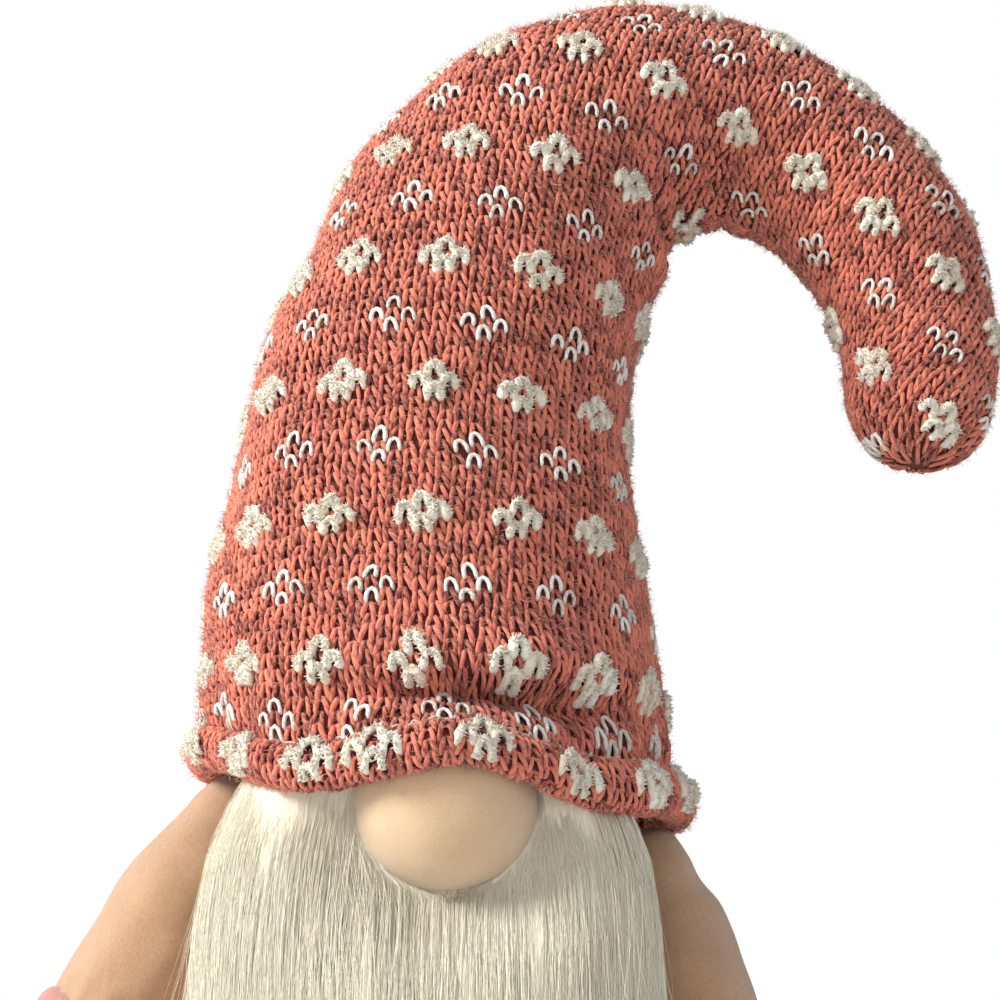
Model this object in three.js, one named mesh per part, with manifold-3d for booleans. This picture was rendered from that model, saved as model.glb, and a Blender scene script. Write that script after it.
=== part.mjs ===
// A tomte gnome figurine: a weighted cloth body with a fur beard, a ball nose, two
// thread-jointed arms in mittens, and a stuffed knitted hat whose wire lets its tip bend.
// Millimetres, +Z up, -Y is the front. The origin is the centre of the base's underside.
import * as THREE from "three";
import { mergeVertices } from "three/addons/utils/BufferGeometryUtils.js";
import Module from "manifold-3d";

const wasm = await Module();
wasm.setup();

// ---------------------------------------------------------------- driving dimensions
const GAP = 0.3; // between pieces that touch
const FLEECE = 2; // thickness of the body, sleeve and mitten cloth
const KNIT = 3; // thickness of the hat's knitted cloth
const SOLE = { radius: 50, thickness: 2 };
const BOARD = { radius: 47.4, thickness: 3 };
const BALLAST_TOP = 46;
const ROUND = 24; // sides of the large round pieces
const SMALL_ROUND = 16; // sides of the small ones
const PAST = 90; // further than any piece reaches, for cuts that pass right through

// The body's outside, as [radius, height], from the edge of the flat bottom to the neck.
const BODY_OUTSIDE = [
  [50, 2.3], [55.5, 8], [58.8, 26], [58.2, 60], [53.2, 100], [47.2, 133],
  [42.6, 160], [41, 178], [38.6, 190], [33, 201], [21, 208], [10, 210], [8.5, 213], [9.5, 220],
];
const FILL_TOP = 209; // where the body's inside closes below its neck
const NECK_HOLE = 4;
const TIE = { z: 213.5, ring: 10.2, cord: 1.1 };
const GLUE = { radius: 13, thickness: 1.8 };

// The hat's centre line, as (x, height, outer radius of the knit).
const HAT_LINE = [
  [0.3, 190, 60.5], [-1.9, 216, 58.6], [-3.2, 242, 56], [-2.8, 268, 52.6], [0.3, 293, 50],
  [7.2, 319, 46.4], [17, 342, 44], [34, 364, 39.8], [57.4, 374, 32.8], [82, 372, 27.6],
  [104, 358.5, 24.3], [118.5, 338.5, 22.5], [125.8, 314, 20.6], [125.2, 294, 18.8], [123.7, 276.7, 17.6],
];
const HAT_END = HAT_LINE.length - 1;
const HAT_STEP = 25; // about the distance between two of its points
const BEND = 8.5; // where along the line the tip bends
const TIP_DOME = 13; // where the tip starts to round off
const TIP_INSIDE = { cloth: 0.3, filling: 0.5 }; // where they end, in steps before the line's end
const BRIM = {
  tilt: 0.195, // the brim drops to the right by this slope
  tiltReach: 60, // and the drop fades out over this height
  droop: 9.5, // its front hangs down beside the nose
  droopTurn: 0.95, // this far round to each side, in radians
  droopReach: 22, // and this far up
  push: 11, // the nose pushes it forwards
  lift: 9, // and up
  liftAt: 10, // most of all here across
  width: 24, // over this distance each side
  rise: 3, // and this far up
  height: 14,
  hem: 4.5, // thickness of the rolled hem
};
const KNUCKLE = 25; // radius of the round end on which the tip turns
const SEAT_GAP = 0.5; // between that end and its seat
const THROAT = { radius: 6, length: 40 }; // the knuckle's opening for the wire
const RIM = { back: 10.5, tilt: 0.148 }; // where the lower hat stops short of the bend
const HAT_FLOOR = { z: 222.6, thickness: 2, radius: 51.5, x: -2.2 };
const WIRE = { radius: 1.2, loop: 8, foot: 1.7, break: [7.1, 7.85], tip: 13.2, clearance: 0.8 };

const NOSE = { radius: 20.5, at: [2.8, -46, 183.4], cloth: 1.4, gather: 5, stitched: 3.4 };

// Half the beard's outline, as [half width, height], and its front, as [radius, height].
const BEARD_OUTLINE = [[42, 197], [42, 158], [47, 128], [50, 100], [46, 76], [28, 46], [12, 33]];
const BEARD_POINT = 30;
const BEARD_FRONT = [[60, 28], [67, 62], [67, 105], [65, 140], [61, 168], [54, 188], [51, 198]];
const BEARD_BACK = -33;
const BACKING = { thickness: 1.4, halfWidth: 36, flare: 6, top: 202, bottom: 66, back: -12 };

// Each arm swings on a thread that runs from the body into the arm's round top.
const ARM = {
  left: { pivot: [-51, 0, 187.5], splay: 30, side: -1 },
  right: { pivot: [52.5, 0, 174], splay: 16, side: 1 },
  wrist: 58, // from the pivot
  lining: -7, // where the sleeve's hollow starts, under its closed top
  mouth: 5, // how far an open end's cutter runs past it
};
// The sleeve's and the mitten's outsides, as [radius, distance down the arm from the pivot].
const SLEEVE_OUTSIDE = [
  [3, -9.1], [7, -6.4], [9.5, 0], [10.4, 5], [11.2, 8], [13.2, 14], [14.8, 24], [15.2, 38], [15, 58],
];
const MITTEN_OUTSIDE = [[15.8, 58.3], [16.2, 66], [14.6, 69], [16.6, 80], [16, 89], [11.5, 97], [5, 99.6]];
const MITTEN_FLAT = 0.78; // the palm's depth against its width
const THUMB = { radius: 6.2, length: 11, lean: 0.75, at: [3, -12.5, -76] };
const THREAD = { radius: 0.8, knot: 2.1, inner: 27, outer: 1.5, clearance: 0.4 };

// ---------------------------------------------------------------- colours
const material = (color, roughness = 0.95, metalness = 0) =>
  new THREE.MeshStandardMaterial({ color, roughness, metalness });
const fleece = material(0xc79f76);
const knit = material(0xb8624f);
const pinkFleece = material(0xc9766c);
const fur = material(0xe9e4d2, 0.6);
const felt = material(0xb08a66);
const noseCloth = material(0xd9b58d);
const polyfill = material(0xf4f4f0);
const cotton = material(0xe4dccb);
const board = material(0x9a7a55, 0.8);
const thread = material(0xd8cbb0, 0.7);
const glue = material(0xe8dfbc, 0.4);
const steel = material(0x9c9c9c, 0.35, 1);

// ---------------------------------------------------------------- solids
// A closed geometry as a manifold-3d solid.
function solid(geometry) {
  const bare = geometry.index ? geometry.toNonIndexed() : geometry.clone();
  bare.deleteAttribute("normal");
  bare.deleteAttribute("uv");
  const merged = mergeVertices(bare, 1e-4);
  const mesh = new wasm.Mesh({
    numProp: 3,
    vertProperties: merged.attributes.position.array,
    triVerts: new Uint32Array(merged.index.array),
  });
  return new wasm.Manifold(mesh);
}

function geometryOf(made) {
  const mesh = made.getMesh();
  const geometry = new THREE.BufferGeometry();
  geometry.setAttribute("position", new THREE.BufferAttribute(mesh.vertProperties, 3));
  geometry.setIndex(new THREE.BufferAttribute(mesh.triVerts, 1));
  geometry.computeVertexNormals();
  return geometry;
}

// A solid of revolution about Z from [radius, height] pairs, closed on the axis at both ends.
function turned(profile, sides = ROUND) {
  const points = profile.map(([r, z]) => new THREE.Vector2(r, z));
  points.unshift(new THREE.Vector2(0, profile[0][1]));
  points.push(new THREE.Vector2(0, profile.at(-1)[1]));
  return solid(new THREE.LatheGeometry(points, sides).rotateX(Math.PI / 2));
}

const disc = (radius, z, thickness, sides = ROUND) =>
  turned([[radius, z], [radius, z + thickness]], sides);

const ball = (radius, [x, y, z], sides = SMALL_ROUND) =>
  solid(new THREE.SphereGeometry(radius, sides, sides / 2).translate(x, y, z));

// The nose's ball, grown by an allowance.
const noseDent = (extra) => ball(NOSE.radius + extra, NOSE.at, ROUND);

// The same [radius, height] outline, drawn in by an allowance.
const drawnIn = (profile, inset) => profile.map(([r, z]) => [r - inset, z]);

function rod(radius, from, to, sides = 8) {
  const [a, b] = [new THREE.Vector3(...from), new THREE.Vector3(...to)];
  const along = b.clone().sub(a);
  const turn = new THREE.Quaternion().setFromUnitVectors(
    new THREE.Vector3(0, 1, 0),
    along.clone().normalize(),
  );
  const geometry = new THREE.CylinderGeometry(radius, radius, along.length(), sides);
  geometry.applyQuaternion(turn).translate(...a.add(b).multiplyScalar(0.5).toArray());
  return solid(geometry);
}

// ---------------------------------------------------------------- the hat's shape
// The line carries its radius as a third coordinate, so one curve gives both.
const hatCurve = new THREE.CatmullRomCurve3(
  HAT_LINE.map(([x, z, r]) => new THREE.Vector3(x, z, r)),
  false,
  "catmullrom",
);

// Place, radius and direction of the hat's line at a point counted in HAT_LINE's steps.
function hatAt(along) {
  const part = THREE.MathUtils.clamp(along / HAT_END, 0, 1);
  const at = hatCurve.getPoint(part);
  const ahead = hatCurve.getPoint(Math.min(1, part + 1e-3));
  const behind = hatCurve.getPoint(Math.max(0, part - 1e-3));
  const way = new THREE.Vector2(ahead.x - behind.x, ahead.y - behind.y).normalize();
  const beyond = (along - part * HAT_END) * HAT_STEP;
  const past = Math.max(0, (along - TIP_DOME) / (HAT_END - TIP_DOME));
  return {
    x: at.x + way.x * beyond,
    z: at.y + way.y * beyond,
    radius: at.z * Math.sqrt(Math.max(0, 1 - past * past)),
    way,
  };
}

// Every hat solid has its rings at the same stations, closer together on the tip's dome.
const HAT_STATIONS = [
  ...Array.from({ length: 2 * TIP_DOME }, (_, i) => i / 2),
  ...[0, 1, 2, 3].map((i) => TIP_DOME + (HAT_END - TIP_DOME) * Math.sin((i * Math.PI) / 8)),
];

// A smooth hump, 1 at its middle and fading out over its width.
const hump = (distance, width) => Math.exp(-((distance / width) ** 2));

// How the brim drops to the right, droops in front, and bulges over the nose.
function settleBrim(point) {
  const up = point.z - HAT_LINE[0][1];
  const round = (Math.atan2(point.x, -point.y) / BRIM.droopTurn) ** 2;
  const tilt = BRIM.tilt * point.x * hump(up, BRIM.tiltReach);
  const droop = BRIM.droop * hump(round, 1) * hump(up, BRIM.droopReach);
  const front = THREE.MathUtils.smoothstep(-point.y, 10, 45) * hump(up - BRIM.rise, BRIM.height);
  const push = BRIM.push * front * hump(point.x - NOSE.at[0], BRIM.width);
  const lift = BRIM.lift * front * hump(point.x - BRIM.liftAt, BRIM.width);
  point.z += lift - tilt - droop;
  point.y -= push;
}

// A solid that fills the hat from one place on its line to another, drawn in by an allowance.
function hatSolid(from, to, inset, hem = 0, sides = ROUND) {
  const between = HAT_STATIONS.filter((along) => along > from + 0.05 && along < to - 0.05);
  const rings = [[0, from]];
  for (const along of [from, ...between, to]) {
    const extra = hem * Math.exp(-((along / 0.45) ** 2));
    rings.push([Math.max(0, hatAt(along).radius - inset - extra), along]);
  }
  if (rings.at(-1)[0] > 0) rings.push([0, to]);
  const shape = new THREE.LatheGeometry(
    rings.map(([r, along]) => new THREE.Vector2(r, along)),
    sides,
  );
  const place = shape.getAttribute("position");
  const point = new THREE.Vector3();
  for (let i = 0; i < place.count; i++) {
    point.fromBufferAttribute(place, i);
    const line = hatAt(point.y);
    const sideways = point.x;
    point.set(line.x + sideways * line.way.y, -point.z, line.z - sideways * line.way.x);
    settleBrim(point);
    place.setXYZ(i, point.x, point.y, point.z);
  }
  return solid(shape);
}

const bendLine = hatAt(BEND);
const bendAt = [bendLine.x, 0, bendLine.z];
const bendWay = new THREE.Vector3(bendLine.way.x, 0, bendLine.way.y);

// Everything of the lower hat that has to be clear of the tip: the round seat of the
// knuckle, and all past a leaning rim that lets the tip close and open.
function clearOfTip() {
  const slab = new THREE.BoxGeometry(PAST, 2 * PAST, 2 * PAST).translate(PAST / 2, 0, 0);
  slab.rotateY(Math.atan2(-bendWay.z, bendWay.x) - RIM.tilt);
  const rim = bendWay.clone().multiplyScalar(-RIM.back);
  slab.translate(bendAt[0] + rim.x, 0, bendAt[2] + rim.z);
  return solid(slab).add(ball(KNUCKLE + SEAT_GAP, bendAt, ROUND));
}

// The hat's bendable wire between two places on its line.
function wire(from, to, radius, steps) {
  const path = new THREE.CatmullRomCurve3(
    Array.from({ length: 9 }, (_, i) => {
      const line = hatAt(from + ((to - from) * i) / 8);
      return new THREE.Vector3(line.x, 0, line.z);
    }),
  );
  const section = new THREE.Shape().absarc(0, 0, radius, 0, Math.PI * 2);
  return solid(
    new THREE.ExtrudeGeometry(section, { steps, extrudePath: path, curveSegments: 4 }),
  );
}

function lowerWire(radius, end) {
  const foot = hatAt(WIRE.foot);
  const loop = new THREE.TorusGeometry(WIRE.loop, radius, 8, 14);
  loop.translate(foot.x + WIRE.loop, 0, foot.z);
  return wire(WIRE.foot, end, radius, 15).add(solid(loop));
}

function hatLower() {
  const clear = clearOfTip();
  const floorTop = HAT_FLOOR.z + HAT_FLOOR.thickness + GAP;
  const cover = hatSolid(0, BEND, 0)
    .subtract(hatSolid(-0.4, BEND, KNIT, BRIM.hem - KNIT))
    .subtract(clear)
    .subtract(noseDent(SEAT_GAP));
  const filling = hatSolid(1, BEND, KNIT + GAP)
    .subtract(disc(PAST, floorTop - PAST, PAST))
    .subtract(clear)
    .subtract(lowerWire(WIRE.radius + WIRE.clearance, BEND));
  const floor = disc(HAT_FLOOR.radius, HAT_FLOOR.z, HAT_FLOOR.thickness, 40);
  return [
    ["hat_cover_lower", cover, knit],
    ["hat_floor", floor.translate(HAT_FLOOR.x, 0, 0), felt],
    ["hat_stuffing_lower", filling, polyfill],
    ["hat_wire_lower", lowerWire(WIRE.radius, WIRE.break[0]), steel],
  ];
}

function hatTip() {
  const wall = BEND + KNIT / HAT_STEP;
  const knuckle = (radius) => ball(radius, bendAt, ROUND);
  const back = bendAt.map((v, i) => v - bendWay.toArray()[i] * THROAT.length);
  const cover = hatSolid(BEND, HAT_END, 0)
    .add(knuckle(KNUCKLE))
    .subtract(hatSolid(wall, HAT_END - TIP_INSIDE.cloth, KNIT).add(knuckle(KNUCKLE - KNIT)))
    .subtract(rod(THROAT.radius, back, bendAt, 12));
  const bore = wire(WIRE.break[0], WIRE.tip + 0.1, WIRE.radius + WIRE.clearance, 14);
  const filling = hatSolid(wall + GAP / HAT_STEP, HAT_END - TIP_INSIDE.filling, KNIT + 2 * GAP)
    .add(knuckle(KNUCKLE - KNIT - GAP))
    .subtract(bore);
  return [
    ["hat_cover_tip", cover, knit],
    ["hat_stuffing_tip", filling, polyfill],
    ["hat_wire_tip", wire(WIRE.break[1], WIRE.tip, WIRE.radius, 14), steel],
  ];
}

// ---------------------------------------------------------------- the body
// The thread that carries an arm: it lies on the arm's hinge line, with a knot at each end.
function shoulderThread({ pivot, side }, extra) {
  const inner = [side * (Math.abs(pivot[0]) - THREAD.inner), 0, pivot[2]];
  const outer = [pivot[0] + side * THREAD.outer, 0, pivot[2]];
  return rod(THREAD.radius + extra, inner, outer)
    .add(ball(THREAD.knot + extra, inner, 10))
    .add(ball(THREAD.knot + extra, outer, 10));
}

function body() {
  const threads = (extra) => shoulderThread(ARM.left, extra).add(shoulderThread(ARM.right, extra));
  const outside = turned(BODY_OUTSIDE).subtract(noseDent(GAP));
  const inside = (inset) => {
    const profile = drawnIn(BODY_OUTSIDE, inset).filter(([, z]) => z < FILL_TOP);
    profile[0][1] += inset;
    return turned(profile).subtract(noseDent(GAP + inset));
  };
  const neckHole = disc(NECK_HOLE, FILL_TOP - PAST / 2, PAST, 12);
  const boardTop = BODY_OUTSIDE[0][1] + FLEECE + GAP + BOARD.thickness;
  const slice = (low, high) => disc(PAST, low, high - low);
  const holes = threads(THREAD.clearance);
  return [
    ["base_pad", disc(SOLE.radius, 0, SOLE.thickness, 40), felt],
    ["body_cover", outside.subtract(inside(FLEECE)).subtract(neckHole).subtract(holes), fleece],
    ["base_board", disc(BOARD.radius, boardTop - BOARD.thickness, BOARD.thickness), board],
    ["ballast_bag", inside(FLEECE + GAP).intersect(slice(boardTop + GAP, BALLAST_TOP)), cotton],
    [
      "body_stuffing",
      inside(FLEECE + GAP).intersect(slice(BALLAST_TOP + GAP, FILL_TOP)).subtract(holes),
      polyfill,
    ],
    [
      "neck_tie",
      solid(new THREE.TorusGeometry(TIE.ring, TIE.cord, 8, 20).translate(0, 0, TIE.z)),
      thread,
    ],
    ["neck_glue", disc(GLUE.radius, HAT_FLOOR.z - GAP - GLUE.thickness, GLUE.thickness, 20), glue],
    ["shoulder_thread_left", shoulderThread(ARM.left, 0), thread],
    ["shoulder_thread_right", shoulderThread(ARM.right, 0), thread],
  ];
}

// ---------------------------------------------------------------- nose and beard
function nose() {
  const [x, y, z] = NOSE.at;
  const back = y + NOSE.radius;
  const plug = (radius, from, to) => rod(radius, [x, from, z], [x, to, z], 12);
  const cover = noseDent(0)
    .subtract(noseDent(-NOSE.cloth))
    .subtract(plug(NOSE.gather, y, back + 2));
  const core = noseDent(-NOSE.cloth - GAP).subtract(plug(NOSE.gather, back - NOSE.stitched, back));
  return [
    ["nose_cover", cover, noseCloth],
    ["nose_core", core, polyfill],
    ["nose_thread", plug(NOSE.gather - GAP, back - NOSE.stitched + GAP, back - 2 * GAP), thread],
  ];
}

// The space in front of the body within an outline of [half width, height] pairs.
function frontPanel(outline, deepest, nearest) {
  const shape = new THREE.Shape();
  outline.forEach(([x, z], i) => (i ? shape.lineTo(x, z) : shape.moveTo(x, z)));
  const depth = nearest - deepest;
  const geometry = new THREE.ExtrudeGeometry(shape, { depth, bevelEnabled: false });
  return solid(geometry.rotateX(Math.PI / 2).translate(0, nearest, 0));
}

function beard() {
  const aroundBody = (gap) => turned(BODY_OUTSIDE.map(([r, z]) => [r + gap, z]));
  const { thickness, halfWidth, flare, top, bottom, back } = BACKING;
  const wide = halfWidth + flare;
  const cloth = frontPanel(
    [[halfWidth, top], [wide, bottom], [-wide, bottom], [-halfWidth, top]],
    -PAST,
    back,
  );
  const backing = aroundBody(GAP + thickness)
    .subtract(aroundBody(GAP))
    .intersect(cloth)
    .subtract(noseDent(GAP));
  const mirrored = BEARD_OUTLINE.map(([x, z]) => [-x, z]).reverse();
  const outline = frontPanel([...BEARD_OUTLINE, [0, BEARD_POINT], ...mirrored], -PAST, BEARD_BACK);
  const pile = outline
    .intersect(turned(BEARD_FRONT, 32))
    .subtract(aroundBody(2 * GAP + thickness))
    .subtract(noseDent(GAP));
  return [
    ["beard_backing", backing, cotton],
    ["beard_fur", pile, fur],
  ];
}

// ---------------------------------------------------------------- arms
// An arm hangs down -Z from its pivot, and its group leans it out to the side.
function armPieces(name, { splay, side, pivot }) {
  const hanging = (profile) => turned(profile.map(([r, s]) => [r, -s]).reverse(), 20);
  const lean = THREE.MathUtils.degToRad(-side * splay);
  const bore = shoulderThread({ pivot, side }, THREAD.clearance)
    .translate(pivot.map((v) => -v))
    .rotate([0, (-lean * 180) / Math.PI, 0]);
  const { wrist, lining, mouth } = ARM;
  const inner = drawnIn(SLEEVE_OUTSIDE, FLEECE).filter(([, s]) => s >= lining);
  const sleeve = hanging(SLEEVE_OUTSIDE)
    .subtract(hanging([...inner, [SLEEVE_OUTSIDE.at(-1)[0] - FLEECE, wrist + mouth]]))
    .subtract(bore);
  const filling = drawnIn(SLEEVE_OUTSIDE, FLEECE + GAP).filter(([, s]) => s >= 0);
  const sleeveFill = hanging(filling).subtract(bore);
  const palm = (inset) => {
    const low = drawnIn(MITTEN_OUTSIDE, inset).filter(([r]) => r > 1);
    const round = hanging(low).scale([1, MITTEN_FLAT, 1]);
    const thumb = new THREE.CapsuleGeometry(THUMB.radius - inset, THUMB.length, 3, 10);
    thumb.rotateX(Math.PI / 2 - THUMB.lean);
    thumb.translate(-side * THUMB.at[0], THUMB.at[1], THUMB.at[2]);
    return round.add(solid(thumb));
  };
  const cuffMouth = hanging(
    [[MITTEN_OUTSIDE[0][0] - FLEECE, wrist - mouth], [MITTEN_OUTSIDE[0][0] - FLEECE, wrist + mouth]],
  ).scale([1, MITTEN_FLAT, 1]);
  return [
    [`sleeve_${name}`, sleeve, fleece],
    [`arm_stuffing_${name}`, sleeveFill, polyfill],
    [`mitten_${name}`, palm(0).subtract(palm(FLEECE)).subtract(cuffMouth), pinkFleece],
    [`mitten_stuffing_${name}`, palm(FLEECE + GAP), polyfill],
  ];
}

// ---------------------------------------------------------------- assembly
function meshes(pieces) {
  return pieces.map(([name, made, look]) => {
    const mesh = new THREE.Mesh(geometryOf(made), look);
    mesh.name = name;
    return mesh;
  });
}

function arm(name, spec) {
  const group = new THREE.Group();
  group.position.set(...spec.pivot);
  group.rotation.y = THREE.MathUtils.degToRad(-spec.side * spec.splay);
  group.add(...meshes(armPieces(name, spec)));
  return group;
}

const gnome = new THREE.Group();
gnome.add(...meshes([...body(), ...hatLower(), ...hatTip(), ...nose(), ...beard()]));
gnome.add(arm("left", ARM.left), arm("right", ARM.right));

export default gnome;
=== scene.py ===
"""The looks of a tomte gnome figurine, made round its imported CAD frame.

Shapes are worked out in millimetres with +Z up and -Y the front, as in the CAD, and become
metres where a mesh is made. Every cloth surface is a function of where a point of the cloth
lies, so stitches, seams and loose fibres are laid out on the cloth itself.
"""
import math

import bmesh
import bpy
import numpy as np
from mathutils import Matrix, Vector, noise


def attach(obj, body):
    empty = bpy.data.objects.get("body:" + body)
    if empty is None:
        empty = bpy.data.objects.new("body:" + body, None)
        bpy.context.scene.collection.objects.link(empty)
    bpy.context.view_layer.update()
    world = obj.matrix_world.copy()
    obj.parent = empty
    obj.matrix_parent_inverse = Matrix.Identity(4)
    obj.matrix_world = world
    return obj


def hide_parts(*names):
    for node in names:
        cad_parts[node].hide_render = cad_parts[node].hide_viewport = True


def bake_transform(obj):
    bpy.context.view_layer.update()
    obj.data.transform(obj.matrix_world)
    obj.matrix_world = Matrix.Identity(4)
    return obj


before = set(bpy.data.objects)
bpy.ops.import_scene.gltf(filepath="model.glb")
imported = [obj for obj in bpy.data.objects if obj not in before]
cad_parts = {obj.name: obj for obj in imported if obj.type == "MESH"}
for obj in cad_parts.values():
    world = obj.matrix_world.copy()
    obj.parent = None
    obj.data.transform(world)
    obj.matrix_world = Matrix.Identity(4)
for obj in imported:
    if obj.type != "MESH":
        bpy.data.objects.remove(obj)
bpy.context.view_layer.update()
MM = 0.001
TURN = 2 * math.pi
rng = np.random.default_rng(11)

# ------------------------------------------------------------------ the hat's dimensions
# The hat's centre line, which is the CAD's, as (x, height, radius below the stitches).
HAT_LINE = np.array([
    [0.3, 190, 59.2], [-1.9, 216, 57.4], [-3.2, 242, 55], [-2.8, 268, 51.8], [0.3, 293, 49.2],
    [7.2, 319, 45.6], [17, 342, 43.2], [34, 364, 39.0], [57.4, 374, 32.2], [82, 372, 27.0],
    [104, 358.5, 23.7], [118.5, 338.5, 21.9], [125.8, 314, 20.0], [125.2, 294, 18.2],
    [123.7, 276.7, 17.0],
])
TIP_DOME = 13.0  # the step of the line where the tip starts to round off

# The knit. Thicknesses are radii of the yarn, rises are heights above the knit's surface.
STITCH = 3.7  # width of a stitch
ROW = 2.79  # height of a row
KNIT_COLUMNS = (-34, 70)  # the sheet of knit that the panels are cut from, round the front line
KNIT_ROWS = 125
YARN = 0.67
BIG_YARN = {"thickness": 1.08, "rise": 0.45, "lumps": 0.15}  # a chenille flower's
BIG_STRETCH = (1.16, 1.16, 1, 1)  # its stitches are larger than the knit's
SMALL_YARN = {"thickness": 0.58, "rise": 0.4}
FUZZ_HAIRS = {"count": 9400, "length": 1.7, "thickness": 0.085, "stand": 0.5, "curl": 0.35}
TUFT_HAIRS = {"count": 9400, "length": 0.95, "thickness": 0.28, "stand": 0.7, "curl": 0.2}
KNIT_PARTS = 6  # how many objects the plain knit and its fuzz are shared out to,
TUFT_PARTS = 4  # and how many the flowers' tufts
GAP_SHADE_DEPTH = 0.6  # how far below the knit's surface a dark sheet of painted shade closes its gaps,
WRONG_SIDE = 2.0  # and how far below lies the knit's wrong side, painted dark as shade
SEAM = {"from": -10.0, "short_of_end": 6, "pace": 0.85}  # a side seam's stitches, pace in rows

# The knit's pattern. Kind 1 is a big chenille flower, kind 2 a small white one.
PATTERN = (6, 12)  # stitches and rows from one big flower to the next
FLOWER = {(0, 1), (-1, 0), (1, 0), (0, -1)}  # the stitches of a flower, as (column, row)
FLOWER_COLUMN = -1.05  # the front flower's place, in stitches from the front line
FLOWER_ROW = 5.6  # the first big flower's place, in rows above the hem's crease
HEM_FROM = -2  # the rows up to this one lie on the hem
HEM_FLOWERS = {1: -8, 2: -4}  # the rows of the flowers that the hem takes in
HEM_SHIFT = {1: -2, 2: -1}  # the stitches by which its gathers carry them aside,
HEM_SHIFT_FROM = -4.5  # from this column on
COLUMN_LEAN = 0.11  # the pattern is cut a little off the grain: columns lean to the right,
ROW_LEAN = (0.06, 0.00056)  # and rows sink to the right, more so (per mm) further up
PATTERN_BEND = 0.79  # how much of the hat's curl is cut into its pattern
PANEL_MARGIN = 0.5  # between a panel's last stitches and its side seam

# The hem and the brim.
ROLL = {"radius": 4.7, "inset": 1.0, "turns": 1.25}  # the rolled hem, turns in half turns
CREASE = {"depth": 2.0, "reach": 3.2}  # how deep the hem's seam pulls the knit in, how far up
HEM_GATHERS = 16  # how far up the hem's small gathers reach
BRIM_TILT = {"slope": 0.195, "reach": 30}  # the brim is lower on the right
BRIM_DROOP = {"depth": 9.5, "turn": 0.95, "reach": 22}  # how it hangs down beside the nose
BRIM_PUSH = {"depth": 11.0, "at": 2.8}  # how far the nose pushes the brim forwards
BRIM_LIFT = {"depth": 9.0, "at": 10.0}  # and how far up
BRIM_SPREAD = {"width": 24, "height": 14, "rise": 3}  # and over which distances
BRIM_FRONT = (10, 35)  # how far forwards the push starts, and the distance until it is full
FOLD_AT = 0.3  # the fold above the nose: its place, and how short it is
FOLD_SHARPNESS = 7.0
FOLD = {"depth": 9.0, "at": 9, "reach": 3.4}  # the fold itself,
FOLD_SWELL = {"height": 5.0, "at": 17, "reach": 6.5}  # and the swelling above it
CRUMPLE = {"at": 212, "reach": 34, "waves": 0.42, "height": 1.3, "depth": 1.0}  # inside the bend
FILL = {"size": 62, "height": 1.5, "seed": 3, "octaves": 2}  # the stuffing's lumps,
FILL_END = 30  # which fade over this distance from the tip

# ------------------------------------------------------------------ numbers to meshes
def catmull_rom(points, at):
    """Where the smooth curve through the rows of points is, at counted in rows."""
    ends = [2 * points[0] - points[1]], [2 * points[-1] - points[-2]]
    knots = np.vstack([ends[0], points, ends[1]])
    step = np.clip(np.floor(at).astype(int), 0, len(points) - 2)
    u = (at - step)[:, None]
    a, b, c, d = (knots[step + k] for k in range(4))
    square = 2 * a - 5 * b + 4 * c - d
    cube = 3 * b - a - 3 * c + d
    return 0.5 * (2 * b + (c - a) * u + square * u**2 + cube * u**3)


def unit(vectors):
    """The same vectors, one long."""
    return vectors / np.maximum(np.linalg.norm(vectors, axis=-1, keepdims=True), 1e-9)


def waves(points, size, height, seed, octaves):
    """Smooth noise at each point, for lumps about size mm wide and height mm high."""
    random = np.random.default_rng(seed)
    total = np.zeros(points.shape[:-1])
    for octave in range(octaves):
        for _ in range(6):
            way = unit(random.normal(size=3)) * TURN / (size / 1.7**octave)
            total += np.sin(points @ way + random.uniform(0, TURN)) / 1.7**octave
    return total / 4 * height


def add_tone(mesh, tone):
    """Gives each vertex the tone that its material reads."""
    layer = mesh.attributes.new("tone", "FLOAT", "POINT")
    layer.data.foreach_set("value", tone.astype(np.float32))


def add_mesh(name, verts, loops, totals, material, tone=None, uv=None):
    """A mesh object from vertices in mm, corners, and each face's number of corners."""
    mesh = bpy.data.meshes.new(name)
    mesh.vertices.add(len(verts))
    mesh.vertices.foreach_set("co", (verts * MM).astype(np.float32).ravel())
    mesh.loops.add(len(loops))
    mesh.loops.foreach_set("vertex_index", loops.astype(np.int32))
    mesh.polygons.add(len(totals))
    starts = np.concatenate([[0], np.cumsum(totals)[:-1]])
    mesh.polygons.foreach_set("loop_start", starts.astype(np.int32))
    mesh.polygons.foreach_set("loop_total", totals.astype(np.int32))
    mesh.polygons.foreach_set("use_smooth", np.full(len(totals), True))
    if tone is not None:
        add_tone(mesh, tone)
    if uv is not None:
        layer = mesh.uv_layers.new(name="OFBake")
        layer.data.foreach_set("uv", uv[loops].astype(np.float32).ravel())
    mesh.update()
    mesh.validate()
    mesh.materials.append(material)
    made = bpy.data.objects.new(name, mesh)
    bpy.context.scene.collection.objects.link(made)
    return made


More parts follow.
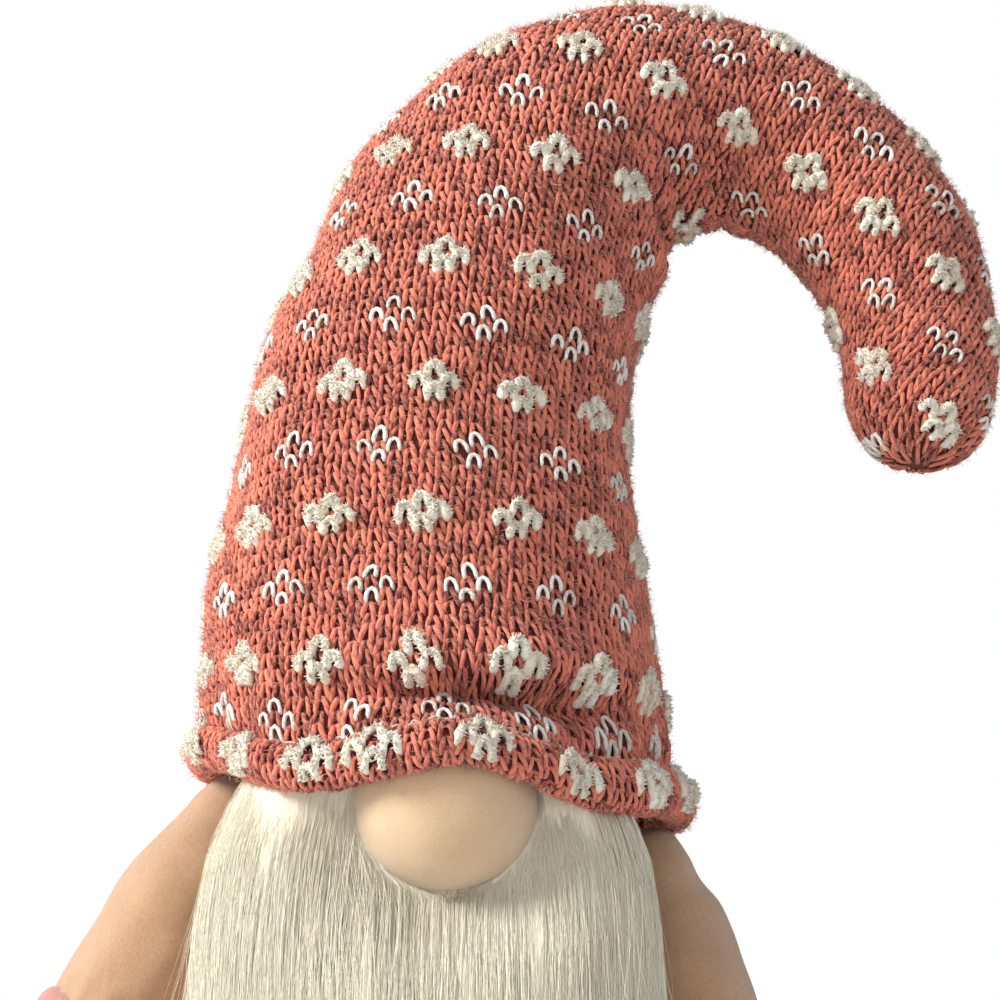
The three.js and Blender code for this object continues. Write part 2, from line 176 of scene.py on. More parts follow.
def tubes(paths, normals, radii, sides, flat=1.0):
    """Vertices, corners and face sizes of closed tubes along paths of shape (count, steps, 3)."""
    count, steps, _ = paths.shape
    ahead = unit(np.gradient(paths, axis=1))
    side = unit(np.cross(ahead, normals))
    up = np.cross(side, ahead)
    angle = np.arange(sides) * TURN / sides
    ring = np.cos(angle)[:, None] * side[:, :, None] - flat * np.sin(angle)[:, None] * up[:, :, None]
    verts = paths[:, :, None] + radii[:, :, None, None] * ring
    first = (np.arange(count) * steps * sides)[:, None, None]
    low = first + (np.arange(steps - 1) * sides)[None, :, None] + np.arange(sides)
    low_next = first + (np.arange(steps - 1) * sides)[None, :, None] + (np.arange(sides) + 1) % sides
    quads = np.stack([low, low_next, low_next + sides, low + sides], axis=-1).reshape(-1)
    start = first[:, 0] + np.arange(sides)[::-1]
    end = first[:, 0] + (steps - 1) * sides + np.arange(sides)
    loops = np.concatenate([quads, start.reshape(-1), end.reshape(-1)])
    totals = np.concatenate([np.full(len(quads) // 4, 4), np.full(2 * count, sides)])
    return verts.reshape(-1, 3), loops, totals


def winding(count, steps, sides, turns):
    """For each corner of such tubes, how far round and how many turns of twist along it is."""
    round_it = np.arange(sides)[None, None]
    up_it = np.arange(steps - 1)[None, :, None]
    corner_u = np.stack([round_it + k for k in (0, 1, 1, 0)], -1) / sides
    corner_v = np.stack([up_it + k for k in (0, 0, 1, 1)], -1) * turns / (steps - 1)
    both = np.stack(np.broadcast_arrays(corner_u, corner_v), -1)
    quads = np.broadcast_to(both, (count, steps - 1, sides, 4, 2)).reshape(-1, 2)
    return np.concatenate([quads, np.zeros((2 * count * sides, 2))])


def tube_piece(name, paths, normals, radii, sides, material, tone=None, uv=None, flat=1.0, turns=5):
    """One object of many thin tubes; tone is one number and uv one place for each tube."""
    verts, loops, totals = tubes(paths, normals, radii, sides, flat)
    each = paths.shape[1] * sides
    tone = None if tone is None else np.repeat(tone, each)
    if uv is not None:
        jitter = np.random.default_rng(1).uniform(0, 0.003, size=(each, 2))
        uv = np.repeat(uv, each, axis=0) * 0.99 + np.tile(jitter, (len(paths), 1))
    made = add_mesh(name, verts, loops, totals, material, tone, uv)
    if sides > 3:
        layer = made.data.uv_layers.new(name="yarn")
        wound = winding(len(paths), paths.shape[1], sides, turns)
        layer.data.foreach_set("uv", wound.astype(np.float32).ravel())
    return made


def grid_piece(name, points, material, caps=(False, False)):
    """One object from a grid of points, (rows, columns, 3), closed round its columns."""
    rows, columns, _ = points.shape
    verts = points.reshape(-1, 3)
    row, column = np.meshgrid(np.arange(rows - 1), np.arange(columns), indexing="ij")
    after = (column + 1) % columns
    here, above = row * columns, (row + 1) * columns
    quads = np.stack([here + column, here + after, above + after, above + column], axis=-1)
    quads = quads.reshape(-1)
    loops, totals = [quads], [np.full(len(quads) // 4, 4)]
    if caps[0]:
        loops.append(np.arange(columns)[::-1])
        totals.append(np.array([columns]))
    if caps[1]:
        loops.append((rows - 1) * columns + np.arange(columns))
        totals.append(np.array([columns]))
    return add_mesh(name, verts, np.concatenate(loops), np.concatenate(totals), material)


def hump(offset, reach):
    """1 at no offset, falling off smoothly over the reach."""
    return np.exp(-((offset / reach) ** 2))


def gathers(angle, along, count, height, at, reach, start=0):
    """Small folds round a tube, near the place along it where they are sewn."""
    return height * np.sin(angle * count + start)[None] * hump(along - at, reach)


def turned(radius, angle, height):
    """Points round the +Z axis; the angle starts in front and goes to the viewer's right."""
    places = radius * np.sin(angle), -radius * np.cos(angle), height
    return np.stack(np.broadcast_arrays(*places), -1)


# ------------------------------------------------------------------ materials
class Nodes:
    """A short way to write a node material."""

    def __init__(self, name):
        self.material = bpy.data.materials.new(name)
        self.material.use_nodes = True
        self.tree = self.material.node_tree
        self.shader = self.tree.nodes["Principled BSDF"]
        coordinates = self.tree.nodes.new("ShaderNodeTexCoord")
        self.place = coordinates.outputs["Object"]

    def add(self, kind, inputs=None, **settings):
        node = self.tree.nodes.new(kind)
        for key, value in settings.items():
            setattr(node, key, value)
        for key, value in (inputs or {}).items():
            if isinstance(value, bpy.types.NodeSocket):
                self.tree.links.new(value, node.inputs[key])
            else:
                node.inputs[key].default_value = value
        return node

    def noise(self, per_metre, detail=3.0, roughness=0.55, place=None):
        inputs = {"Scale": per_metre, "Detail": detail, "Roughness": roughness}
        inputs["Vector"] = place or self.place
        return self.add("ShaderNodeTexNoise", inputs).outputs["Fac"]

    def stretched(self, scale):
        return self.add("ShaderNodeMapping", {"Vector": self.place, "Scale": scale}).outputs["Vector"]

    def ramp(self, value, stops):
        node = self.add("ShaderNodeValToRGB", {"Fac": value})
        elements = node.color_ramp.elements
        while len(elements) < len(stops):
            elements.new(0.5)
        for element, (place, colour) in zip(elements, stops):
            element.position = place
            element.color = (*colour, 1)
        return node.outputs["Color"]

    def maths(self, kind, a, b=0.0):
        return self.add("ShaderNodeMath", {0: a, 1: b}, operation=kind).outputs[0]

    def tone(self):
        return self.add("ShaderNodeAttribute", attribute_name="tone").outputs["Fac"]

    def contrast(self, value, gain):
        """The same variation about zero instead of a half, and stronger."""
        return self.maths("MULTIPLY", self.maths("SUBTRACT", value, 0.5), gain)

    def plies(self):
        """Bands that wind round a tube, from the tube's own coordinates."""
        along = self.add("ShaderNodeUVMap", uv_map="yarn").outputs["UV"]
        apart = self.add("ShaderNodeSeparateXYZ", {"Vector": along})
        wound = self.maths("ADD", self.maths("MULTIPLY", apart.outputs["X"], 2.0), apart.outputs["Y"])
        band = self.maths("SINE", self.maths("MULTIPLY", wound, TURN))
        return self.maths("MULTIPLY_ADD", band, 0.5)

    def bump(self, height, depth_mm, strength=1.0):
        inputs = {"Height": height, "Distance": depth_mm * MM, "Strength": strength}
        node = self.add("ShaderNodeBump", inputs)
        self.tree.links.new(node.outputs["Normal"], self.shader.inputs["Normal"])

    def finish(self, colour=None, **constants):
        if colour is not None:
            self.tree.links.new(colour, self.shader.inputs["Base Color"])
        for key, value in constants.items():
            self.shader.inputs[key.replace("_", " ")].default_value = value
        return self.material


def yarn_material(name, dark, light, twist=0.0, shine=0.25):
    """Spun yarn: fine fibres, painted slanting highlights and shade along its plies where it has a
    twist, which also bump it, and a tone that each stitch brings."""
    n = Nodes(name)
    fibres = n.contrast(n.noise(2400, 5, 0.8), 1.8)
    patches = n.contrast(n.noise(90, 2), 0.3)
    value = n.maths("ADD", n.maths("MULTIPLY", n.tone(), 0.7), n.maths("ADD", fibres, patches))
    height = fibres
    if twist:
        plies = n.plies()
        # Painted highlight and shade: the plies' bands lighten and darken the colour as the light on
        # a twisted yarn would.
        value = n.maths("ADD", value, n.maths("MULTIPLY", plies, 0.35))
        height = n.maths("ADD", fibres, n.maths("MULTIPLY", plies, twist))
    colour = n.ramp(value, [(0.0, dark), (0.75, light)])
    n.bump(height, 0.22, 0.9)
    return n.finish(
        colour, Roughness=0.82, Sheen_Weight=0.35, Sheen_Roughness=0.5, Specular_IOR_Level=shine,
    )


def fleece_material(name, dark, light, grain=1300, depth=0.35):
    """Short-pile fleece: a fine felted grain with soft blotches of lay."""
    n = Nodes(name)
    fibres = n.noise(grain, 6, 0.75)
    blotch = n.noise(70, 3)
    value = n.maths("ADD", n.maths("MULTIPLY", fibres, 0.6), n.maths("MULTIPLY", blotch, 0.4))
    colour = n.ramp(value, [(0.3, dark), (0.7, light)])
    n.bump(n.maths("ADD", fibres, n.noise(grain * 2.3, 3, 0.8)), depth, 0.8)
    return n.finish(
        colour, Roughness=0.95, Sheen_Weight=0.5, Sheen_Roughness=0.6, Specular_IOR_Level=0.15,
    )


def fur_material(name, dark, light):
    """Straight pile: each strand brings its tone."""
    n = Nodes(name)
    streaks = n.noise(2600, 3, 0.6, n.stretched((1, 1, 0.02)))
    broad = n.noise(260, 2, 0.5, n.stretched((1, 1, 0.08)))
    value = n.maths("ADD", n.maths("MULTIPLY", n.tone(), 0.6), n.maths("MULTIPLY", streaks, 0.2))
    value = n.maths("ADD", value, n.maths("MULTIPLY", broad, 0.2))
    colour = n.ramp(value, [(0.2, dark), (0.75, light)])
    n.bump(streaks, 0.12, 0.5)
    return n.finish(
        colour, Roughness=0.55, Specular_IOR_Level=0.3, Sheen_Weight=0.3, Sheen_Roughness=0.4,
    )


def plain_cloth(name, dark, light, weave=900, roughness=0.9):
    """Woven or pressed cloth, and the dark sheet of painted shade that shows between stitches."""
    n = Nodes(name)
    threads = n.noise(weave, 4, 0.7)
    n.bump(threads, 0.3, 0.7)
    return n.finish(n.ramp(threads, [(0.3, dark), (0.7, light)]), Roughness=roughness)


# With a twist, so with painted highlight and shade along its plies.
KNIT = yarn_material("hat_yarn", (0.21, 0.026, 0.015), (0.92, 0.255, 0.16), 1.2)
# The fuzz is the yarn's own red, given a lighter colour than the knit as painted glints: the light
# that loose fibres catch.
FUZZ_PAINTED_GLINT = yarn_material("hat_fuzz_glint_painted", (0.42, 0.09, 0.055), (1.0, 0.54, 0.40), shine=0.5)
CHENILLE = yarn_material("chenille", (0.88, 0.77, 0.60), (1.0, 0.97, 0.87))
# With a twist, so with painted highlight and shade along its plies.
WHITE_YARN = yarn_material("white_yarn", (0.55, 0.46, 0.38), (1.0, 0.97, 0.92), 1.0, 0.6)
# A dark sheet of painted shade: it stands for the shade in the knit's gaps and inside the hat, not
# for a real cloth.
KNIT_GAP_SHADE = plain_cloth("knit_gap_shade_sheet", (0.07, 0.012, 0.009), (0.20, 0.04, 0.028))
NOSE = fleece_material("nose_fleece", (0.60, 0.40, 0.23), (0.76, 0.55, 0.35), 1500, 0.25)
FLEECE = fleece_material("camel_fleece", (0.42, 0.235, 0.12), (0.62, 0.38, 0.225))
PINK = fleece_material("mitten_fleece", (0.45, 0.15, 0.12), (0.66, 0.28, 0.23))
FUR = fur_material("beard_fur", (0.78, 0.72, 0.55), (0.96, 0.93, 0.80))
SEWING = yarn_material("sewing_thread", (0.60, 0.52, 0.40), (0.88, 0.80, 0.66))
FELT = plain_cloth("felt", (0.27, 0.18, 0.11), (0.40, 0.28, 0.18), 1500)
FILLING = plain_cloth("filling", (0.75, 0.75, 0.73), (0.93, 0.93, 0.91), 300)
COTTON = plain_cloth("cotton", (0.66, 0.60, 0.48), (0.84, 0.79, 0.68))


# ------------------------------------------------------------------ the hat
def hat_table():
    """Evenly spaced stations along the centre line: distance, x, z, radius and direction."""
    at = np.linspace(0, len(HAT_LINE) - 1, 200 * (len(HAT_LINE) - 1) + 1)
    line = catmull_rom(HAT_LINE, at)
    past = np.clip((at - TIP_DOME) / (len(HAT_LINE) - 1 - TIP_DOME), 0, 1)
    line[:, 2] *= np.sqrt(1 - past**2)
    step = np.linalg.norm(np.diff(line[:, :2], axis=0), axis=1)
    distance = np.concatenate([[0], np.cumsum(step)])
    return distance, line, unit(np.gradient(line[:, :2], axis=0))


HAT_DISTANCE, HAT_TABLE, HAT_WAY = hat_table()
HAT_LENGTH = HAT_DISTANCE[-1]
CREASE_AT = 2 * ROLL["radius"]  # the crease's distance along the line
ROLL_END = -ROLL["radius"] * math.pi * ROLL["turns"]  # where the rolled knit ends


def along_line(distance, values):
    """What the stations' values come to at distances along the line."""
    return np.interp(distance, HAT_DISTANCE, values)


def hat_radius(distance):
    return along_line(distance, HAT_TABLE[:, 2])


def settle_brim(points):
    """The brim drops to the right, droops in front, and the nose pushes it forwards and up."""
    x, y, z = points[..., 0], points[..., 1], points[..., 2]
    up = z - HAT_LINE[0][1]
    drop = BRIM_TILT["slope"] * x * hump(up, BRIM_TILT["reach"])
    aside = (np.arctan2(x, -y) / BRIM_DROOP["turn"]) ** 4
    drop = drop + BRIM_DROOP["depth"] * np.exp(-aside - (up / BRIM_DROOP["reach"]) ** 2)
    front = np.clip((-y - BRIM_FRONT[0]) / BRIM_FRONT[1], 0, 1)
    front = front * front * (3 - 2 * front) * hump(up - BRIM_SPREAD["rise"], BRIM_SPREAD["height"])
    push = BRIM_PUSH["depth"] * front * hump(x - BRIM_PUSH["at"], BRIM_SPREAD["width"])
    lift = BRIM_LIFT["depth"] * front * hump(x - BRIM_LIFT["at"], BRIM_SPREAD["width"])
    return np.stack([x, y - push, z - drop + lift], axis=-1)


def hat_surface(angle, cloth):
    """The knit's surface. angle is from the front to the viewer's right, and cloth is
    millimetres of knit above the hem's crease, or below it on the roll."""
    angle, cloth = np.broadcast_arrays(np.asarray(angle, float), np.asarray(cloth, float))
    turn = np.clip(-cloth / ROLL["radius"], 0, None)
    above = np.clip(cloth, 0, None)
    on_roll = cloth < 0
    distance = np.where(on_roll, CREASE_AT / 2 + ROLL["radius"] * np.cos(turn), CREASE_AT + cloth)
    radius = hat_radius(np.clip(distance, 0, HAT_LENGTH))
    pulled_in = CREASE["depth"] * np.exp(-above / CREASE["reach"])
    offset = np.where(on_roll, ROLL["radius"] * np.sin(turn) - ROLL["inset"], -pulled_in)
    x, z = along_line(distance, HAT_TABLE[:, 0]), along_line(distance, HAT_TABLE[:, 1])
    way_x, way_z = along_line(distance, HAT_WAY[:, 0]), along_line(distance, HAT_WAY[:, 1])
    beyond = np.minimum(distance, 0)
    across, front = np.sin(angle), -np.cos(angle)
    spine = np.stack([x + way_x * beyond, np.zeros_like(x), z + way_z * beyond], axis=-1)
    sideways = np.stack([across * way_z, front, -across * way_x], axis=-1)
    fill = waves(spine + sideways * radius[..., None], **FILL)
    fill = fill * np.clip((HAT_LENGTH - distance) / FILL_END, 0, 1)
    folds = fill + hem_wrinkles(angle, cloth) + bend_folds(angle, distance)
    places = spine + sideways * (radius + offset)[..., None]
    return settle_brim(places + sideways * folds[..., None])


def hem_wrinkles(angle, cloth):
    """Small gathers where the hem is sewn, and the fold above the nose's push."""
    near = hump(cloth, HEM_GATHERS)
    small = 0.7 * np.sin(angle * 15 + 2 * np.sin(angle * 3)) + 0.5 * np.sin(angle * 27 + 1.3)
    over_nose = np.exp((np.cos(angle - FOLD_AT) - 1) * FOLD_SHARPNESS)
    fold = FOLD_SWELL["height"] * hump(cloth - FOLD_SWELL["at"], FOLD_SWELL["reach"])
    fold = fold - FOLD["depth"] * hump(cloth - FOLD["at"], FOLD["reach"])
    return small * near + fold * over_nose


def bend_folds(angle, distance):
    """Where the wire bends the hat, its inner side crumples."""
    inner = np.clip(np.sin(angle), 0, 1) ** 2
    inside = hump(distance - CRUMPLE["at"], CRUMPLE["reach"])
    ripple = np.sin(distance * CRUMPLE["waves"] + 1.2 * np.cos(angle * 2))
    return inner * inside * (CRUMPLE["height"] * ripple - CRUMPLE["depth"])


def hat_normal(angle, cloth):
    """The outward direction of the knit's surface."""
    small = 0.3
    spread = small / np.maximum(hat_radius(np.clip(CREASE_AT + cloth, 0, HAT_LENGTH - 2)), 6)
    round_it = hat_surface(angle + spread, cloth) - hat_surface(angle - spread, cloth)
    up_it = hat_surface(angle, cloth + small) - hat_surface(angle, cloth - small)
    return unit(np.cross(round_it, up_it))


def pattern_line():
    """The centre line of the flat pattern that the hat is cut from. It bends less than the
    stuffed hat does, because the wire inside pulls the hat further over."""
    heading = np.unwrap(np.arctan2(HAT_WAY[:, 0], HAT_WAY[:, 1]))
    flat_heading = (heading - heading[0]) * PATTERN_BEND
    step = np.diff(HAT_DISTANCE, prepend=0)
    across = np.cumsum(np.sin(flat_heading) * step)
    up = np.cumsum(np.cos(flat_heading) * step)
    return np.stack([across, up], -1), flat_heading


def panel_stitches(front):
    """The stitches of the hat's front or back panel: the knit's straight grid of columns and
    rows, cut to the pattern's curved outline and laid round half of the hat. A row holds the
    stitch's angle and place on the cloth, the grain's direction, the hat's radius, how much
    the cloth is drawn together there, the stitch's kind, and 1 in front or -1 behind."""
    line, heading = pattern_line()
    stations = slice(None, None, 4)  # every fourth station is close enough
    line, heading, distance = line[stations], heading[stations], HAT_DISTANCE[stations]
    rows = np.arange(math.ceil(ROLL_END / ROW - FLOWER_ROW), KNIT_ROWS)
    column, row = (a.ravel() for a in np.meshgrid(np.arange(*KNIT_COLUMNS), rows))
    over = (column + FLOWER_COLUMN) * STITCH
    up = (row + FLOWER_ROW) * ROW
    x = over + COLUMN_LEAN * np.clip(up, 0, None)
    z = CREASE_AT + up - over * (ROW_LEAN[0] + ROW_LEAN[1] * up) * np.clip(up / 30, 0, 1)
    away = (x[:, None] - line[:, 0]) ** 2 + (z[:, None] - line[:, 1]) ** 2
    nearest = away.argmin(1)
    aim = heading[nearest]
    dx, dz = x - line[nearest, 0], z - line[nearest, 1]
    ahead = dx * np.sin(aim) + dz * np.cos(aim)
    across = dx * np.cos(aim) - dz * np.sin(aim)
    along = np.where(nearest == 0, ahead, distance[nearest])
    radius = hat_radius(np.clip(along, 0, HAT_LENGTH))
    bend = np.gradient(heading, distance)[nearest]
    kind = np.array([stitch_kind(int(c), int(r)) for c, r in zip(column, row)])
    side = np.full(len(kind), 1 if front else -1)
    angle = across / np.maximum(radius, 1)
    found = np.stack([angle, along - CREASE_AT, aim, radius, 1 - bend * across, kind, side], -1)
    inside = (np.abs(across) < radius * math.pi / 2 - PANEL_MARGIN) & (along < HAT_LENGTH - 0.8)
    inside &= (radius > 2) & (along - CREASE_AT > ROLL_END) & (nearest < len(line) - 1)
    found = found[inside]
    if not front:
        found[:, 0] = math.pi - found[:, 0]
        found[:, 2] *= -1
    return found


def stitch_kind(column, row):
    """0 for plain knit, 1 for a big chenille flower, 2 for a small white one."""
    wide, tall = PATTERN
    for kind, (x, y) in ((1, (0, 0)), (2, (wide // 2, tall // 2))):
        on_hem = row <= HEM_FROM
        aside = HEM_SHIFT[kind] if on_hem and column > HEM_SHIFT_FROM else 0
        dx = (column - x - aside + wide // 2) % wide - wide // 2
        dy = row - HEM_FLOWERS[kind] if on_hem else (row - y + tall // 2) % tall - tall // 2
        if (dx, dy) in FLOWER:
            return kind
    return 0


# A stitch seen from outside, from its left foot over its top to its right foot: across in
# stitches, up in rows, height off the cloth, thickness.
ARCH = np.array([
    [-0.40, -0.84, -0.55, 0.5], [-0.37, -0.50, 0.12, 0.95], [-0.28, 0.0, 0.36, 1.0],
    [-0.17, 0.48, 0.10, 0.95], [0.0, 0.74, -0.80, 0.6], [0.17, 0.48, 0.10, 0.95],
    [0.28, 0.0, 0.36, 1.0], [0.37, -0.50, 0.12, 0.95], [0.40, -0.84, -0.55, 0.5],
])
# A flower's stitch lies on top of the knit, shorter, with its arch closed.
PROUD_ARCH = np.array([
    [-0.38, -0.62, -0.45, 0.6], [-0.37, -0.36, 0.25, 1.0], [-0.34, 0.02, 0.40, 1.0],
    [-0.23, 0.38, 0.38, 1.0], [0.0, 0.56, 0.32, 0.95], [0.23, 0.38, 0.38, 1.0],
    [0.34, 0.02, 0.40, 1.0], [0.37, -0.36, 0.25, 1.0], [0.38, -0.62, -0.45, 0.6],
])


def lay_stitches(chosen, thickness, arch=ARCH, rise=0.0, lumps=0.0):
    """How stitches run: their paths, the cloth's normals, their thickness and their places on
    the bake's sheet. No two stitches are quite alike."""
    angle, cloth, aim, radius, squeeze, _, side = (column[:, None] for column in chosen.T)
    count = len(chosen)
    slant = rng.normal(0, 0.09, size=(count, 1))
    dx = (arch[:, 0] + slant * arch[:, 1]) * STITCH + rng.normal(0, 0.22, size=(count, 1))
    dz = arch[:, 1] * ROW * rng.normal(1, 0.1, size=(count, 1))
    dz = dz + rng.normal(0, 0.22, size=(count, 1))
    turn = aim * side
    up = (dx * np.sin(turn) + dz * np.cos(turn)) / np.clip(squeeze, 0.5, 2)
    across = (dx * np.cos(turn) - dz * np.sin(turn)) * side
    angles = angle + across / radius
    cloths = np.minimum(cloth + up, HAT_LENGTH - CREASE_AT - 0.3)
    height = arch[:, 2] * thickness / 0.72 + rise + rng.normal(0, 0.14, size=(count, 1))
    normal = hat_normal(angles, cloths)
    path = hat_surface(angles, cloths) + normal * height[..., None]
    thick = thickness * arch[:, 3] * rng.uniform(0.8, 1.12, size=(count, 1))
    thick = thick * (1 + lumps * rng.normal(0, 1, size=thick.shape))
    place = np.stack([angle[:, 0] / TURN + 0.25, (cloth[:, 0] + 25) / (HAT_LENGTH + 25)], -1)
    return path, normal, thick, place


def stitches(name, laid, material, sides=5):
    """One object of stitches."""
    path, normal, thick, place = laid
    tone = rng.uniform(0, 1, size=len(path))
    return tube_piece(name, path, normal, thick, sides, material, tone, place, flat=0.85)


def hairs(name, laid, material, count, length, thickness, stand, curl):
    """Hairs that grow out of the yarn of some stitches, more upright with more stand."""
    path, normal, thick, place = laid
    stitch = rng.integers(0, len(path), size=count)
    at = rng.uniform(0.8, 7.2, size=count)
    before = at.astype(int)
    share = (at - before)[:, None]
    core = path[stitch, before] * (1 - share) + path[stitch, before + 1] * share
    along = unit(path[stitch, before + 1] - path[stitch, before])
    up = normal[stitch, before]
    turn = rng.normal(0, 0.9, size=(count, 1))
    out = up * np.cos(turn) + np.cross(along, up) * np.sin(turn)
    root = core + out * thick[stitch, before][:, None] * 0.7
    way = unit(out * stand + unit(rng.normal(size=(count, 3))) * (1 - stand))
    bend = unit(np.cross(way, rng.normal(size=(count, 3))))
    reach = (length * rng.uniform(0.45, 1.3, size=count))[:, None, None]
    steps = np.linspace(0, 1, 4)
    hair = root[:, None] + way[:, None] * steps[None, :, None] * reach
    hair = hair + bend[:, None] * np.sin(steps * 2.4)[None, :, None] * reach * curl
    thin = thickness * (1 - 0.7 * steps)[None] * rng.uniform(0.7, 1.2, size=(count, 1))
    upwards = np.broadcast_to(up[:, None], hair.shape)
    tone = rng.uniform(0.3, 1, size=count)
    return tube_piece(name, hair, upwards, thin, 3, material, tone, place[stitch])


def join_hat(piece):
    """Bakes the piece's transform into its mesh."""
    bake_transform(piece)


def seam_stitches():
    """The column of stitches that closes each side seam, laid over the panels' edges."""
    top = HAT_LENGTH - CREASE_AT - SEAM["short_of_end"]
    cloth = np.arange(SEAM["from"], top, ROW * SEAM["pace"])
    radius = hat_radius(CREASE_AT + np.clip(cloth, 0, None))
    none, one = np.zeros_like(cloth), np.ones_like(cloth)
    return np.concatenate([
        np.stack([side * one, cloth, none, radius, one, none, one], -1)
        for side in (-TURN / 4, TURN / 4)
    ])


def hat_shade_sheets():
    """The dark sheet of painted shade just below the stitches, and the knit's wrong side inside the
    hat, also painted dark as shade.
    """
    across = np.linspace(0, TURN, 145)[:-1]
    top = HAT_LENGTH - CREASE_AT - 0.4
    on_roll, near_hem = np.linspace(ROLL_END, 0, 16), np.linspace(1, 30, 20)[:-1]
    heights = np.concatenate([on_roll, near_hem, np.linspace(30, top, 140)])
    grid = np.stack([hat_surface(across, np.full_like(across, h)) for h in heights])
    normals = np.stack([hat_normal(across, np.full_like(across, h)) for h in heights])
    under = grid_piece("hat_gap_shade", grid - normals * GAP_SHADE_DEPTH, KNIT_GAP_SHADE, caps=(False, True))
    # The wrong side is the hat's inside, coloured with the same painted shade.
    inside = (grid - normals * WRONG_SIDE)[:140][::-1]
    return under, grid_piece("hat_wrong_side", inside, KNIT_GAP_SHADE)


def plain_knit(rows):
    """The plain stitches and the fuzz that grows out of them, in a few objects each."""
    knit = lay_stitches(rows, YARN)
    made = []
    for number, part in enumerate(np.array_split(np.arange(len(rows)), KNIT_PARTS)):
        laid = [value[part] for value in knit]
        made.append(stitches(f"hat_knit_{number + 1}", laid, KNIT))
        made.append(hairs(f"hat_fuzz_glint_painted_{number + 1}", laid, FUZZ_PAINTED_GLINT, **FUZZ_HAIRS))
    return made


def flowers(big, small):
    """The chenille flowers, the small white ones, and the tufts of the chenille."""
    chenille = lay_stitches(big, arch=PROUD_ARCH * BIG_STRETCH, **BIG_YARN)
    made = [stitches("hat_flowers_big", chenille, CHENILLE, 7)]
    white = lay_stitches(small, arch=PROUD_ARCH, **SMALL_YARN)
    made.append(stitches("hat_flowers_small", white, WHITE_YARN, 6))
    for number in range(TUFT_PARTS):
        made.append(hairs(f"flower_tufts_{number + 1}", chenille, CHENILLE, **TUFT_HAIRS))
    return made


def make_hat():
    """The knit over its sheets of painted shade, the flowers, the hem's thread and the loose fibres.
    """
    under, wrong_side_shade = hat_shade_sheets()
    rows = np.concatenate([panel_stitches(True), panel_stitches(False)])
    kinds = rows[:, 5]
    plain = np.concatenate([rows[kinds == 0], seam_stitches()])
    plain = plain[np.argsort(plain[:, 1], kind="stable")]
    made = [under, wrong_side_shade, *plain_knit(plain)]
    made += flowers(rows[kinds == 1], rows[kinds == 2])
    made.append(hem_thread())
    for piece in made:
        join_hat(piece)
    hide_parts("hat_cover_lower", "hat_cover_tip")


def hem_thread():
    """The pale thread of the hem, in and out along the crease."""
    steps = 900
    angle = np.linspace(0, TURN, steps)
    cloth = 0.5 + 0.35 * np.sin(angle * 41)
    height = 0.75 + 0.55 * np.sin(angle * 83)
    normal = hat_normal(angle, cloth)
    path = hat_surface(angle, cloth) + normal * height[:, None]
    thick = np.full((1, steps), 0.28)
    tone, place = np.array([0.6]), np.array([[0.5, 0.5]])
    return tube_piece(
        "hem_thread", path[None], normal[None], thick, 6, SEWING, tone, place, turns=300,
    )


# ------------------------------------------------------------------ the body
# The fleece's outline as (radius, height), as the CAD has it.
BODY = np.array([
    [50, 2.3], [55.5, 8], [58.8, 26], [58.2, 60], [53.2, 100], [47.2, 133], [42.6, 160], [41, 178],
    [38.6, 190], [33, 201], [21, 208], [10, 210], [8.5, 213], [9.5, 220],
])
BODY_LUMPS = {"size": 55, "height": 0.8, "seed": 21, "octaves": 3}
BODY_SEAM = {"depth": 1.1, "width": 1.3, "radius": 50, "top": 200}
BODY_GATHERS = {"count": 34, "height": 0.5, "at": 6, "reach": 7}  # where the base pad is sewn on
BODY_SLACK = 0.4


def body_radius(height):
    return np.interp(height, BODY[:, 1], BODY[:, 0])


def make_body():
    """The fleece body, with its side seams and the soft folds of a stuffed bag."""
    profile = catmull_rom(BODY, np.linspace(0, len(BODY) - 1, 150))
    angle = np.linspace(0, TURN, 161)[:-1]
    radius, height = profile[:, 0][:, None], profile[:, 1][:, None]
    lumps = waves(turned(radius, angle, height), **BODY_LUMPS)
    sides = TURN / 4, 3 * TURN / 4
    apart = [(angle - side + math.pi) % TURN - math.pi for side in sides]
    seam = sum(hump(gap * BODY_SEAM["radius"], BODY_SEAM["width"]) for gap in apart)
    seam = BODY_SEAM["depth"] * seam[None] * (height < BODY_SEAM["top"])
    swell = lumps - seam + gathers(angle, height, **BODY_GATHERS) - BODY_SLACK
    radius = radius + swell * np.clip(radius / 30, 0, 1) * (height > 4)
    points = turned(radius, angle, height)
    piece = grid_piece("body_fleece", points, FLEECE, caps=(True, True))
    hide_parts("body_cover")
    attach(piece, "root")


# ------------------------------------------------------------------ the nose
NOSE_AT = np.array([2.8, -46, 183.4])
NOSE_RADIUS = 20.5
NOSE_SLACK = 0.15
NOSE_LUMPS = 0.9
NOSE_WIDE, NOSE_TALL = 1.02, 0.985  # the ball's width and height for its depth
NOSE_SQUEEZE = 0.03  # how much narrower it is under the brim


def make_nose():
    """A ball of fleece over filling, a little flattened under the brim."""
    sphere = bpy.data.meshes.new("nose_shape")
    shape = bmesh.new()
    bmesh.ops.create_icosphere(shape, subdivisions=6, radius=1)
    for vert in shape.verts:
        way = vert.co.copy()
        lump = noise.noise(way * 1.3) * 0.5 + noise.noise(way * 3.1) * 0.15
        radius = NOSE_RADIUS - NOSE_SLACK + lump * NOSE_LUMPS
        wide = NOSE_WIDE - NOSE_SQUEEZE * max(0, way.z)
        vert.co = (way.x * radius * wide, way.y * radius, way.z * radius * NOSE_TALL)
        vert.co = vert.co * MM + Vector(NOSE_AT * MM)
    for face in shape.faces:
        face.smooth = True
    shape.to_mesh(sphere)
    shape.free()
    sphere.materials.append(NOSE)
    piece = bpy.data.objects.new("nose_ball", sphere)
    bpy.context.scene.collection.objects.link(piece)
    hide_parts("nose_cover")
    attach(piece, "root")


